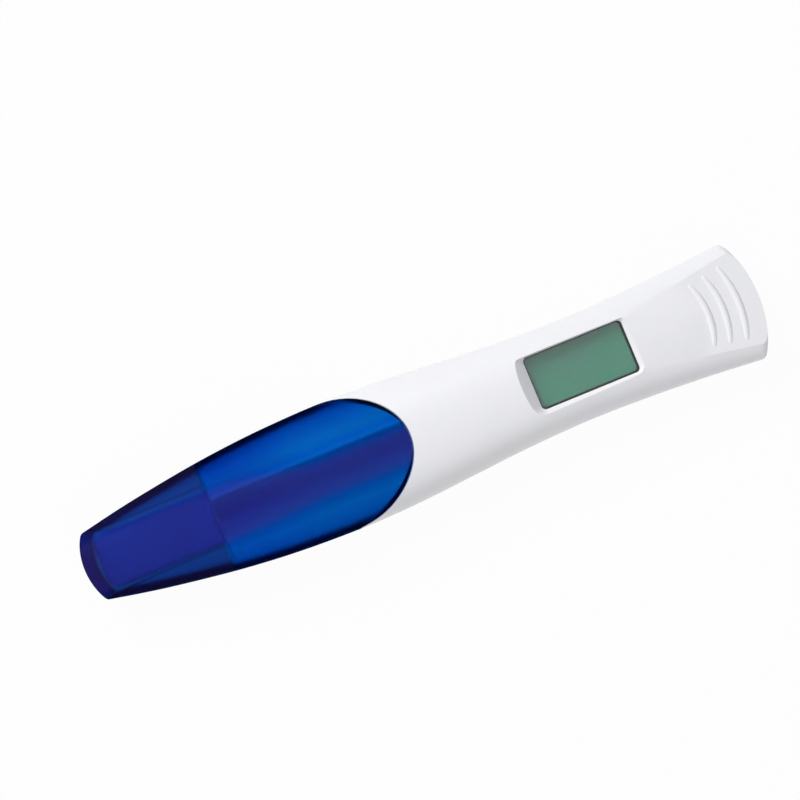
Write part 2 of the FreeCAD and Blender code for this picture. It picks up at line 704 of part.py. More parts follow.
def chip_parts(places, length, width, rise):
    """Small boxes on top of the board before the dome, each with raised metal ends."""
    parts = []
    for before, y in places:
        x = DOME_X - before
        body = block(x - length / 2, x + length / 2, y - width / 2, y + width / 2,
                     BOARD_TOP, BOARD_TOP + rise)
        ends = [block(x + s * (length / 2 - 0.15) - 0.15, x + s * (length / 2 - 0.15) + 0.15,
                      y - width / 2 - 0.03, y + width / 2 + 0.03, BOARD_TOP, BOARD_TOP + rise + 0.03)
                for s in (1, -1)]
        parts.append(joined([body] + ends))
    return parts


def chip_resistors():
    """Resistors near the chip."""
    return chip_parts(((7.5, 3.0), (7.5, 0.5), (7.5, -2.0), (11.0, 3.0), (11.0, 0.5)), 1.6, 0.8, 0.45)


def chip_capacitors():
    """Capacitors near the chip."""
    return chip_parts(((15.0, -2.5), (15.0, 0.5), (19.5, 0.5)), 2.0, 1.25, 0.8)


def coin_cell():
    """Standard cell with its can below and a smaller lid above."""
    top = BOARD_UNDER - CONTACT_THICK
    base = top - CELL_THICK
    shoulder = base + CELL_THICK * 0.89
    radius = CELL_RADIUS
    outline = [(0, base), (radius - 0.35, base), (radius, base + 0.35), (radius, shoulder - 0.17),
               (radius - 0.25, shoulder), (radius - 0.7, shoulder), (radius - 0.85, top - 0.1),
               (radius - 1.0, top), (0, top), (0, base)]
    wire = Part.makePolygon([Vector(r, 0, z) for r, z in outline])
    body = Part.Face(wire).revolve(Vector(0, 0, 0), Vector(0, 0, 1), 360)
    body.translate(Vector(CELL_X, 0, 0))
    return body


def battery_contacts():
    """A spring plate above the cell and a strap that wraps under it."""
    top = BOARD_UNDER
    base = top - CONTACT_THICK - CELL_THICK
    plate = rod(CELL_X, 0, CELL_RADIUS / 2, top - CONTACT_THICK, top)
    reach = CELL_RADIUS + CONTACT_GAP
    strap = block(CELL_X - reach - CONTACT_THICK, CELL_X + reach + CONTACT_THICK,
                  -STRAP_HALF_WIDTH, STRAP_HALF_WIDTH, base - CONTACT_THICK, top)
    strap = strap.cut(block(CELL_X - reach, CELL_X + reach, -BIG, BIG, base, top + 1))
    return [plate, strap]


def optical_block():
    """Black block that keeps stray light from the sensors."""
    body = block(OPTICS_START, OPTICS_END, -OPTICS_HALF_WIDTH, OPTICS_HALF_WIDTH,
                 MEMBRANE_TOP, BOARD_UNDER)
    wells = []
    for x in EMITTERS_X + DETECTORS_X:
        wells.append(block(x - WELL_WIDTH / 2, x + WELL_WIDTH / 2, -WELL_WIDTH / 2, WELL_WIDTH / 2,
                           MEMBRANE_TOP - 1, BOARD_UNDER + 1))
    return body.cut(wells)


def strip_card():
    """Stiff backing under the whole test strip."""
    half = STRIP_WIDTH / 2
    return block(CARD_START, CARD_END, -half, half, CARD_UNDER, CARD_TOP)


def test_membrane():
    """Thin white membrane that carries the test lines."""
    half = STRIP_WIDTH / 2
    return block(PAD_END, SINK_START, -half, half, CARD_TOP, MEMBRANE_TOP)


def conjugate_pad():
    """Pad that takes the sample from the wick and laps over the membrane."""
    half = STRIP_WIDTH / 2
    pad = block(CARD_START, PAD_END, -half, half, CARD_TOP, PAD_TOP)
    lap = block(PAD_END - 0.1, PAD_END + PAD_OVERLAP, -half, half, MEMBRANE_TOP, PAD_TOP)
    return joined([pad, lap])


def sink_pad():
    """Pad at the far end that soaks up what has passed the membrane."""
    half = STRIP_WIDTH / 2
    top = PAD_TOP + SINK_EXTRA
    pad = block(SINK_START, CARD_END, -half, half, CARD_TOP, top)
    lap = block(SINK_START - SINK_OVERLAP, SINK_START + 0.1, -half, half, MEMBRANE_TOP, top)
    return joined([pad, lap])


def wick():
    """Absorbent sampler that stands out of the nose under the cap."""
    body = rounded_plate(WICK_START, WICK_END, WICK_HALF_WIDTH, WICK_CORNER, WICK_UNDER, WICK_TOP)
    front = [e for e in body.Edges if e.BoundBox.XMax < NOSE_START and e.BoundBox.ZLength < 0.01]
    return body.makeChamfer(WICK_EDGE, front)


def desiccant_tablet():
    """Drying tablet in a ring behind the board."""
    body = rod(TABLET_X, 0, TABLET_RADIUS, TABLET_FLOOR, TABLET_FLOOR + TABLET_THICK)
    rims = [e for e in body.Edges if e.BoundBox.ZLength < 0.01]
    return body.makeChamfer(TABLET_THICK / 10, rims)


NODES = {
    "cap": cap,
    "upper_housing": upper_housing,
    "lower_housing": lower_housing,
    "display_window": display_window,
    "window_gasket": window_gasket,
    "front_polariser": front_polariser,
    "front_glass": front_glass,
    "rear_glass": rear_glass,
    "reflector": reflector,
    "display_frame": display_frame,
    "zebra_strips": zebra_strips,
    "circuit_board": circuit_board,
    "microcontroller": microcontroller,
    "light_emitters": light_emitters,
    "photodiodes": photodiodes,
    "chip_resistors": chip_resistors,
    "chip_capacitors": chip_capacitors,
    "coin_cell": coin_cell,
    "battery_contacts": battery_contacts,
    "optical_block": optical_block,
    "strip_card": strip_card,
    "conjugate_pad": conjugate_pad,
    "test_membrane": test_membrane,
    "sink_pad": sink_pad,
    "wick": wick,
    "desiccant_tablet": desiccant_tablet,
}


def solids_of(shape):
    """The closed solids of one shape or of a list of shapes."""
    shapes = shape if isinstance(shape, list) else [shape]
    return [solid for one in shapes for solid in one.Solids]


def export():
    """Writes each node as its own file, in the shared frame."""
    os.makedirs("parts", exist_ok=True)
    for name, build in NODES.items():
        solids = solids_of(build())
        shape = solids[0] if len(solids) == 1 else Part.makeCompound(solids)
        shape.translate(Vector(-LENGTH / 2, 0, REST_DEPTH))
        shape.exportStep("parts/" + name + ".step")
        print(name, len(solids), "solids", round(shape.Volume, 1), shape.isValid())


export()
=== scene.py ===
"""Looks for the capped test stick: shells, tinted cap, display, sampler and test strip."""

import logging
import math
from dataclasses import dataclass, field
from enum import Enum
from typing import Any

import bmesh
import bpy
from mathutils import Euler, Matrix, Vector

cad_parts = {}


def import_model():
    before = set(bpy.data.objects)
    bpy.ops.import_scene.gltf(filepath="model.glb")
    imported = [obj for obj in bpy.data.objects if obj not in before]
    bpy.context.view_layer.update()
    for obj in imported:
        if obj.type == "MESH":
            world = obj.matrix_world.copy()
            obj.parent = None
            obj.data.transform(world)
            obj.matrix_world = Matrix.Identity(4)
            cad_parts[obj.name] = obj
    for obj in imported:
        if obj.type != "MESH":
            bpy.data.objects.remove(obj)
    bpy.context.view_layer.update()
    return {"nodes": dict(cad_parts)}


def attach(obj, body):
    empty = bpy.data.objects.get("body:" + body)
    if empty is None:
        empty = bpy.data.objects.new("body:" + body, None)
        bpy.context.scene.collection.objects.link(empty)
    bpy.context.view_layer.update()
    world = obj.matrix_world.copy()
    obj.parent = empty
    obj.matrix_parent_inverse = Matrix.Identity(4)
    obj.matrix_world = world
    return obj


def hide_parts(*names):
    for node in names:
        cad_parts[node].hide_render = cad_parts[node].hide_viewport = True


LOG = logging.getLogger("test_stick")
MM = 0.001

Colour = tuple[float, float, float]
Node = bpy.types.Node
Socket = bpy.types.NodeSocket

WHITE: Colour = (1.0, 1.0, 1.0)


class Body(Enum):
    """The two bodies of the stick that move against each other."""

    HOUSING = "housing"
    CAP = "cap"


class Grain(Enum):
    """How the fine surface detail of a finish runs, as its scale along each axis."""

    SPECKLED = (1.0, 1.0, 1.0)
    BRUSHED = (0.04, 1.0, 1.0)
    FIBROUS = (0.22, 1.0, 1.0)


class Course(Enum):
    """How a result goes from its first value to its last."""

    EVEN = "LINEAR"
    SMOOTH = "SMOOTHSTEP"


def srgb(red: int, green: int, blue: int) -> Colour:
    """Turns a colour in 0 to 255 steps into linear values.

    Args:
        red: Red step.
        green: Green step.
        blue: Blue step.

    Returns:
        The linear colour.
    """
    values = []
    for step in (red, green, blue):
        share = step / 255
        values.append(share / 12.92 if share <= 0.04045 else ((share + 0.055) / 1.055) ** 2.4)
    return values[0], values[1], values[2]


def rgba(colour: Colour) -> tuple[float, float, float, float]:
    """Adds a full alpha to a colour."""
    return colour[0], colour[1], colour[2], 1.0


@dataclass(frozen=True)
class NodeGraph:
    """Short ways to fill a node tree."""

    tree: bpy.types.NodeTree
    first_colour: int = 6
    second_colour: int = 7
    mixed_colour: int = 2

    def add(self, kind: str, **values: Any) -> Node:
        """Adds a node and sets its properties and sockets.

        Args:
            kind: Node type name.
            values: Property names, or socket names with spaces written as underscores.

        Returns:
            The new node.
        """
        node = self.tree.nodes.new(kind)
        for key, value in values.items():
            if hasattr(node, key):
                setattr(node, key, value)
            else:
                node.inputs[key.replace("_", " ")].default_value = value
        return node

    def link(self, source: Socket, target: Socket) -> None:
        """Joins two sockets."""
        self.tree.links.new(source, target)

    def place(self, scale: tuple[float, float, float] = (1.0, 1.0, 1.0)) -> Socket:
        """Object coordinates, stretched by a scale.

        Args:
            scale: Factor along each axis.

        Returns:
            The coordinates' socket.
        """
        coordinates = self.add("ShaderNodeTexCoord")
        mapping = self.add("ShaderNodeMapping", Scale=scale)
        self.link(coordinates.outputs["Object"], mapping.inputs["Vector"])
        return mapping.outputs["Vector"]

    def noise(self, where: Socket, scale: float, octaves: float) -> Socket:
        """A noise value at a place.

        Args:
            where: Socket with the coordinates.
            scale: Noise cells per metre.
            octaves: Layers of ever finer noise.

        Returns:
            The value's socket.
        """
        node = self.add("ShaderNodeTexNoise", Scale=scale, Detail=octaves)
        self.link(where, node.inputs["Vector"])
        return node.outputs["Fac"]

    def remap(self, value: Socket, start: float = 0.0, end: float = 1.0, low: float = 0.0,
              high: float = 1.0, course: Course = Course.EVEN) -> Socket:
        """Goes from one result to another while a value goes from start to end.

        Args:
            value: Socket with the value.
            start: Value up to which the result is low.
            end: Value from which the result is high.
            low: First result.
            high: Last result.
            course: How the result goes from the first to the last.

        Returns:
            The result's socket.
        """
        node = self.add("ShaderNodeMapRange", interpolation_type=course.value,
                        From_Min=start, From_Max=end, To_Min=low, To_Max=high)
        self.link(value, node.inputs["Value"])
        return node.outputs["Result"]

    def ease(self, value: Socket, start: float, end: float, low: float = 0.0,
             high: float = 1.0) -> Socket:
        """As remap, with a smooth course."""
        return self.remap(value, start, end, low, high, Course.SMOOTH)

    def calculate(self, operation: str, *values: Socket | float) -> Socket:
        """Works out one operation on sockets or numbers.

        Args:
            operation: Name of the operation.
            values: Sockets or plain numbers.

        Returns:
            The result's socket.
        """
        node = self.add("ShaderNodeMath", operation=operation)
        for index, value in enumerate(values):
            if isinstance(value, float):
                node.inputs[index].default_value = value
            else:
                self.link(value, node.inputs[index])
        return node.outputs[0]

    def flat(self, colour: Colour) -> Socket:
        """One plain colour."""
        node = self.add("ShaderNodeRGB")
        node.outputs[0].default_value = rgba(colour)
        return node.outputs[0]

    def ramp(self, value: Socket, stops: tuple[tuple[float, Colour], ...]) -> Socket:
        """A colour that changes from stop to stop with a value.

        Args:
            value: Socket with the value.
            stops: Value and colour of each stop, from the lowest value to the highest.

        Returns:
            The colour's socket.
        """
        low, high = stops[0][0], stops[-1][0]
        node = self.add("ShaderNodeValToRGB")
        elements = node.color_ramp.elements
        while len(elements) < len(stops):
            elements.new(0.5)
        for element, (place, colour) in zip(elements, stops):
            element.position = (place - low) / (high - low)
            element.color = rgba(colour)
        self.link(self.remap(value, low, high), node.inputs["Fac"])
        return node.outputs["Color"]

    def blend(self, value: Socket, first: Colour, second: Colour) -> Socket:
        """A colour between two, by a value of 0 to 1."""
        return self.ramp(value, ((0.0, first), (1.0, second)))

    def mix(self, share: Socket, first: Socket, second: Socket) -> Socket:
        """Mixes two colours.

        Args:
            share: Socket with the second colour's share.
            first: Colour at 0.
            second: Colour at 1.

        Returns:
            The colour's socket.
        """
        node = self.add("ShaderNodeMix", data_type="RGBA")
        self.link(share, node.inputs["Factor"])
        self.link(first, node.inputs[self.first_colour])
        self.link(second, node.inputs[self.second_colour])
        return node.outputs[self.mixed_colour]

    def multiply(self, first: Socket, second: Socket) -> Socket:
        """Multiplies two colours.

        Args:
            first: One colour.
            second: The other colour.

        Returns:
            The colour's socket.
        """
        node = self.add("ShaderNodeMix", data_type="RGBA", blend_type="MULTIPLY", Factor=1.0)
        self.link(first, node.inputs[self.first_colour])
        self.link(second, node.inputs[self.second_colour])
        return node.outputs[self.mixed_colour]

    def mix_shaders(self, share: Socket | float, first: Node, second: Node) -> Node:
        """Mixes two shaders.

        Args:
            share: The second shader's share, as a socket or a plain number.
            first: Shader at 0.
            second: Shader at 1.

        Returns:
            The mixing node.
        """
        node = self.add("ShaderNodeMixShader")
        if isinstance(share, float):
            node.inputs["Fac"].default_value = share
        else:
            self.link(share, node.inputs["Fac"])
        self.link(first.outputs[0], node.inputs[1])
        self.link(second.outputs[0], node.inputs[2])
        return node

    def bump(self, height: Socket, strength: float, distance: float) -> Socket:
        """A bumped normal.

        Args:
            height: Socket with the height.
            strength: Share of the effect.
            distance: Height of the bumps in metres.

        Returns:
            The normal's socket.
        """
        node = self.add("ShaderNodeBump", Strength=strength, Distance=distance)
        self.link(height, node.inputs["Height"])
        return node.outputs["Normal"]


def new_material(name: str) -> tuple[bpy.types.Material, NodeGraph, Node]:
    """Makes a material that holds nothing but its output.

    Args:
        name: The material's name.

    Returns:
        The material, its graph and its output node.
    """
    material = bpy.data.materials.new(name)
    material.use_nodes = True
    graph = NodeGraph(material.node_tree)
    graph.tree.nodes.clear()
    return material, graph, graph.add("ShaderNodeOutputMaterial")


@dataclass(frozen=True)
class Finish:
    """An opaque finish with fine grain.

    The second colour is what the first drifts to over a few millimetres. Scales are noise
    cells per metre, heights and reaches are metres.
    """

    name: str
    colour: Colour = WHITE
    drift: Colour = WHITE
    roughness: float = 0.4
    rough_spread: float = 0.06
    least_roughness: float = 0.02
    metallic: float = 0.0
    specular: float = 0.5
    grain: Grain = Grain.SPECKLED
    grain_scale: float = 9000.0
    grain_height: float = 0.000006
    grain_octaves: float = 4.0
    grain_strength: float = 0.6
    drift_scale: float = 140.0
    drift_octaves: float = 2.0
    coat: float = 0.0
    coat_roughness: float = 0.12
    subsurface: float = 0.0
    subsurface_reach: float = 0.0012

    def shader(self, graph: NodeGraph) -> Node:
        """Builds the surface shader.

        Args:
            graph: The material's graph.

        Returns:
            The shader node.
        """
        shader = graph.add("ShaderNodeBsdfPrincipled", Metallic=self.metallic,
                           Specular_IOR_Level=self.specular, Coat_Weight=self.coat,
                           Coat_Roughness=self.coat_roughness, Subsurface_Weight=self.subsurface,
                           Subsurface_Scale=self.subsurface_reach)
        graph.link(self.drifting(graph), shader.inputs["Base Color"])
        self.roughen(graph, shader)
        return shader

    def drifting(self, graph: NodeGraph) -> Socket:
        """The colour that drifts between the two."""
        broad = graph.noise(graph.place(), self.drift_scale, self.drift_octaves)
        return graph.blend(broad, self.colour, self.drift)

    def roughen(self, graph: NodeGraph, *shaders: Node) -> None:
        """Gives shaders the grain, in their roughness and their bumps.

        Args:
            graph: The material's graph.
            shaders: The shader nodes.
        """
        fine = graph.noise(graph.place(self.grain.value), self.grain_scale, self.grain_octaves)
        low = max(self.roughness - self.rough_spread, self.least_roughness)
        rough = graph.remap(fine, low=low, high=self.roughness + self.rough_spread)
        normal = graph.bump(fine, self.grain_strength, self.grain_height)
        for shader in shaders:
            graph.link(rough, shader.inputs["Roughness"])
            graph.link(normal, shader.inputs["Normal"])

    def make(self) -> bpy.types.Material:
        """Builds the material.

        Returns:
            The material.
        """
        material, graph, output = new_material(self.name)
        graph.link(self.shader(graph).outputs[0], output.inputs["Surface"])
        self.fill(graph, output)
        return material

    def fill(self, graph: NodeGraph, output: Node) -> None:
        """Opaque finishes have nothing inside."""


@dataclass(frozen=True)
class ClearFinish(Finish):
    """A finish that light passes through, tinted by the way it goes inside."""

    least_roughness: float = 0.0
    grain_octaves: float = 2.0
    grain_strength: float = 0.4
    ior: float = 1.49
    absorbed: Colour = (0.9, 0.9, 0.9)
    density: float = 0.0
    shade: Colour = WHITE

    def shader(self, graph: NodeGraph) -> Node:
        """Builds a clear shader that also lets the lamps through.

        Args:
            graph: The material's graph.

        Returns:
            The mixed shader node.
        """
        clear = graph.add("ShaderNodeBsdfPrincipled", IOR=self.ior, Transmission_Weight=1.0,
                          Specular_IOR_Level=self.specular)
        graph.link(self.drifting(graph), clear.inputs["Base Color"])
        self.roughen(graph, clear)
        return self.lamps_through(graph, clear)

    def lamps_through(self, graph: NodeGraph, shader: Node) -> Node:
        """Lets shadow rays pass through a shader, with the finish's shade.

        Args:
            graph: The material's graph.
            shader: The shader that all other rays see.

        Returns:
            The mixed shader node.
        """
        through = graph.add("ShaderNodeBsdfTransparent", Color=rgba(self.shade))
        paths = graph.add("ShaderNodeLightPath")
        return graph.mix_shaders(paths.outputs["Is Shadow Ray"], shader, through)

    def fill(self, graph: NodeGraph, output: Node) -> None:
        """Adds the tint that grows with the way through the solid.

        Args:
            graph: The material's graph.
            output: The material's output node.
        """
        if self.density > 0:
            inside = graph.add("ShaderNodeVolumeAbsorption", Color=rgba(self.absorbed),
                               Density=self.density)
            graph.link(inside.outputs[0], output.inputs["Volume"])


@dataclass(frozen=True)
class CapFinish(ClearFinish):
    """Deep blue moulding whose tint, with painted shade in it, changes across and along it;
    slightly milky in the middle.

    Places are millimetres in the frame. Light crosses four surfaces on its way, so the
    tints act about four times over.
    """

    gloss: Colour = (0.003, 0.03, 0.13)
    milk: Colour = (0.2, 0.12, 0.42)
    milk_share: float = 0.07
    tip_milk_share: float = 0.03
    milk_soft: float = 1.2
    milk_top: tuple[float, float] = (4.7, 1.4)
    milk_bottom: tuple[float, float] = (-5.9, -5.0)
    # Painted shade across the cap: darker through the middle, most just below it, and darker toward
    # both edges, most at the upper edge.
    painted_shade_across: tuple[tuple[float, Colour], ...] = (
        (-11.0, (0.95, 0.93, 1.0)),
        (-8.0, (1.0, 1.0, 1.0)),
        (-3.5, (0.85, 0.75, 0.87)),
        (-1.0, (0.9, 0.88, 0.9)),
        (2.0, (1.0, 1.0, 1.0)),
        (3.6, (1.0, 1.0, 1.0)),
        (4.1, (0.9, 0.925, 0.965)),
        (6.0, (1.0, 1.0, 0.945)),
        (9.0, (0.9, 0.86, 0.89)),
        (11.5, (0.9, 0.78, 0.87)),
    )
    nose_front: float = -44.7
    nose_front_soft: float = 0.5
    nose_tones: tuple[Colour, Colour] = ((0.95, 0.93, 1.0), (0.9, 0.8, 0.91))
    nose_fade: tuple[float, float] = (-41.5, -20.5)
    wick_tone: Colour = (0.9, 0.93, 1.0)
    wick_half: float = 5.6
    wick_soft: float = 0.4
    beside_tone: Colour = (0.9, 0.95, 0.95)
    # Painted shade: darker along the gap beside the wick and along the arc round the tip.
    painted_gap_shade: Colour = (0.9, 0.78, 0.87)
    gap_place: float = 6.0
    gap_half: float = 0.1
    gap_reach: float = 0.8
    tip_centre: float = -57.0
    tip_radius: float = 12.7

    def shader(self, graph: NodeGraph) -> Node:
        """Builds the blue shader, which lets the lamps through.

        Args:
            graph: The material's graph.

        Returns:
            The mixed shader node.
        """
        parts = graph.add("ShaderNodeSeparateXYZ")
        graph.link(graph.place((1 / MM, 1 / MM, 1 / MM)), parts.inputs[0])
        along, across = parts.outputs["X"], parts.outputs["Y"]
        bent = graph.add("ShaderNodeBsdfRefraction", IOR=self.ior)
        graph.link(self.tint(graph, along, across), bent.inputs["Color"])
        gloss = graph.add("ShaderNodeBsdfAnisotropic", Color=rgba(self.gloss))
        self.roughen(graph, bent, gloss)
        edge = graph.add("ShaderNodeFresnel", IOR=self.ior)
        body = graph.mix_shaders(edge.outputs[0], bent, gloss)
        milk = graph.add("ShaderNodeBsdfDiffuse", Color=rgba(self.milk))
        milky = graph.mix_shaders(self.milkiness(graph, along, across), body, milk)
        return self.lamps_through(graph, milky)

    def milkiness(self, graph: NodeGraph, along: Socket, across: Socket) -> Socket:
        """Share of the milky shader: a band along the middle that narrows away from the tip.

        Args:
            graph: The material's graph.
            along: Place along the cap.
            across: Place across the cap.

        Returns:
            The share's socket.
        """
        top = graph.ease(along, *self.nose_fade, *self.milk_top)
        bottom = graph.ease(along, *self.nose_fade, *self.milk_bottom)
        soft = self.milk_soft
        under_top = graph.ease(graph.calculate("SUBTRACT", top, across), -soft, soft)
        over_bottom = graph.ease(graph.calculate("SUBTRACT", across, bottom), -soft, soft)
        band = graph.calculate("MULTIPLY", under_top, over_bottom)
        inside = graph.calculate("MULTIPLY", band, self.milk_share)
        tip = self.past_nose_front(graph, along, self.tip_milk_share, 0.0)
        return graph.calculate("MAXIMUM", inside, tip)

    def past_nose_front(self, graph: NodeGraph, along: Socket, before: float = 0.0,
                        after: float = 1.0) -> Socket:
        """One value before the nose's front and another one over the nose.

        Args:
            graph: The material's graph.
            along: Place along the cap.
            before: Value at the cap's tip.
            after: Value over the nose.

        Returns:
            The value's socket.
        """
        start, end = self.nose_front - self.nose_front_soft, self.nose_front + self.nose_front_soft
        return graph.ease(along, start, end, before, after)

    def tint(self, graph: NodeGraph, along: Socket, across: Socket) -> Socket:
        """Tint over the nose and the wick, with painted shade across the cap and along the gap
        lines.

        Args:
            graph: The material's graph.
            along: Place along the cap.
            across: Place across the cap.

        Returns:
            The colour's socket.
        """
        # Painted shade in bands across the cap.
        whole = graph.ramp(across, self.painted_shade_across)
        nose = graph.blend(graph.ease(across, -self.wick_half, self.wick_half), *self.nose_tones)
        faded = graph.mix(graph.ease(along, *self.nose_fade), nose, graph.flat(WHITE))
        aside = graph.calculate("ABSOLUTE", across)
        past_wick = graph.ease(aside, self.wick_half - self.wick_soft,
                               self.wick_half + self.wick_soft)
        wick = graph.blend(past_wick, self.wick_tone, self.beside_tone)
        # Painted shade along the gap beside the wick and round the tip.
        off_gap = graph.ease(self.from_gap(graph, along, across, aside), self.gap_half,
                             self.gap_reach)
        tip = graph.mix(off_gap, graph.flat(self.painted_gap_shade), wick)
        return graph.mix(self.past_nose_front(graph, along), tip, graph.multiply(whole, faded))

    def from_gap(self, graph: NodeGraph, along: Socket, across: Socket, aside: Socket) -> Socket:
        """How far a place is from the lines of painted shade: the gap beside the wick and the arc
        round the tip.

        Args:
            graph: The material's graph.
            along: Place along the cap.
            across: Place across the cap.
            aside: Distance from the middle line.

        Returns:
            The distance's socket.
        """
        place = graph.add("ShaderNodeCombineXYZ")
        graph.link(graph.calculate("MINIMUM", along, self.tip_centre), place.inputs[0])
        graph.link(across, place.inputs[1])
        centre = graph.add("ShaderNodeVectorMath", operation="DISTANCE")
        centre.inputs[1].default_value = (self.tip_centre, 0.0, 0.0)
        graph.link(place.outputs[0], centre.inputs[0])
        distances = []
        for value, line in ((aside, self.gap_place), (centre.outputs["Value"], self.tip_radius)):
            signed = graph.calculate("SUBTRACT", value, line)
            distances.append(graph.calculate("ABSOLUTE", signed))
        return graph.calculate("MINIMUM", *distances)


@dataclass(frozen=True)
class SteepWall:
    """The wall of the display recess on the +Y side, which stands steeper than the others.

    Places are metres in the frame. The wall is found by the way its faces look.
    """

    x_range: tuple[float, float] = (20.0 * MM, 48.0 * MM)
    foot: float = 5.6 * MM
    spread: float = 0.1
    crown_fall: float = 0.43
    least_lean: float = 0.15
    upward: tuple[float, float] = (0.6, 0.8)

    def is_wall(self, face: bmesh.types.BMFace) -> bool:
        """Whether a face belongs to the sloping walls on this side."""
        low, high = self.upward
        return face.normal.y < -self.least_lean and low < face.normal.z < high

    def raise_in(self, mesh: bmesh.types.BMesh) -> None:
        """Draws the wall's upper edge in over its foot, up along the crown.

        Args:
            mesh: The upper shell's mesh.
        """
        mesh.normal_update()
        start, end = self.x_range
        chosen = [vert for vert in mesh.verts
                  if start < vert.co.x < end and vert.co.y > self.foot
                  and any(self.is_wall(face) for face in vert.link_faces)]
        for vert in chosen:
            inward = (vert.co.y - self.foot) * (1 - self.spread)
            vert.co.y -= inward
            vert.co.z += inward * self.crown_fall
        mesh.normal_update()


def dress(obj: bpy.types.Object, material: bpy.types.Material) -> None:
    """Gives every slot of an object one material.

    Args:
        obj: The object.
        material: The material.
    """
    if not obj.data.materials:
        obj.data.materials.append(material)
    for index in range(len(obj.data.materials)):
        obj.data.materials[index] = material


@dataclass
class Shells:
    """The cap and the two housing shells, as smooth copies of their solids.

    Edges that bend more than sharp_degrees stay sharp. Reaches are metres.
    """

    sharp_degrees: float = 24.0
    merge_reach: float = 2e-6
    shortest_edge: float = 1e-7
    wall: SteepWall = SteepWall()
    white: Finish = Finish("soft_gloss_white", srgb(236, 236, 239), srgb(232, 233, 236), 0.34,
                           0.05, specular=0.45, grain_scale=5200.0, grain_height=0.000004,
                           subsurface=0.08)
    under: Finish = Finish("satin_white_under", srgb(233, 234, 236), srgb(229, 231, 233), 0.4,
                           0.05, specular=0.4, grain_scale=5200.0, grain_height=0.000005,
                           subsurface=0.08)
    blue: CapFinish = CapFinish("clear_deep_blue", roughness=0.36, rough_spread=0.04,
                                grain_scale=1200.0, grain_height=0.000003,
                                absorbed=(0.0, 0.717, 0.89), density=2900.0,
                                shade=(0.03, 0.34, 0.72))

    def smooth_copy(self, node: bpy.types.Object, name: str,
                    wall: SteepWall | None) -> bpy.types.Object:
        """A smooth-shaded copy of a CAD node.

        Args:
            node: The CAD node.
            name: Name of the copy.
            wall: A wall to make steeper.

        Returns:
            The new object, linked to the scene.
        """
        mesh = node.data.copy()
        mesh.name = name
        shape = bmesh.new()
        shape.from_mesh(mesh)
        bmesh.ops.remove_doubles(shape, verts=shape.verts, dist=self.merge_reach)
        bmesh.ops.dissolve_degenerate(shape, edges=shape.edges, dist=self.shortest_edge)
        if wall is not None:
            wall.raise_in(shape)
        limit = math.radians(self.sharp_degrees)
        for edge in shape.edges:
            edge.smooth = len(edge.link_faces) == 2 and edge.calc_face_angle(0.0) < limit
        for face in shape.faces:
            face.smooth = True
        shape.to_mesh(mesh)
        shape.free()
        copy = bpy.data.objects.new(name, mesh)
        bpy.context.scene.collection.objects.link(copy)
        return copy

    def build(self, nodes: dict[str, bpy.types.Object]) -> None:
        """Makes the three shells.

        Args:
            nodes: The CAD nodes by name.
        """
        plan = (
            ("cap", "cap_moulding", Body.CAP, "cap_blue", self.blue, None),
            ("upper_housing", "upper_shell", Body.HOUSING, "housing_white", self.white, self.wall),
            ("lower_housing", "lower_shell", Body.HOUSING, "housing_white_lower", self.under, None),
        )
        for node, name, body, slot, finish, wall in plan:
            shell = self.smooth_copy(nodes[node], name, wall)
            shell.data.materials.clear()
            dress(shell, finish.make())
            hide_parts(node)
            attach(shell, body.value)
            LOG.info("%s: %d faces", name, len(shell.data.polygons))


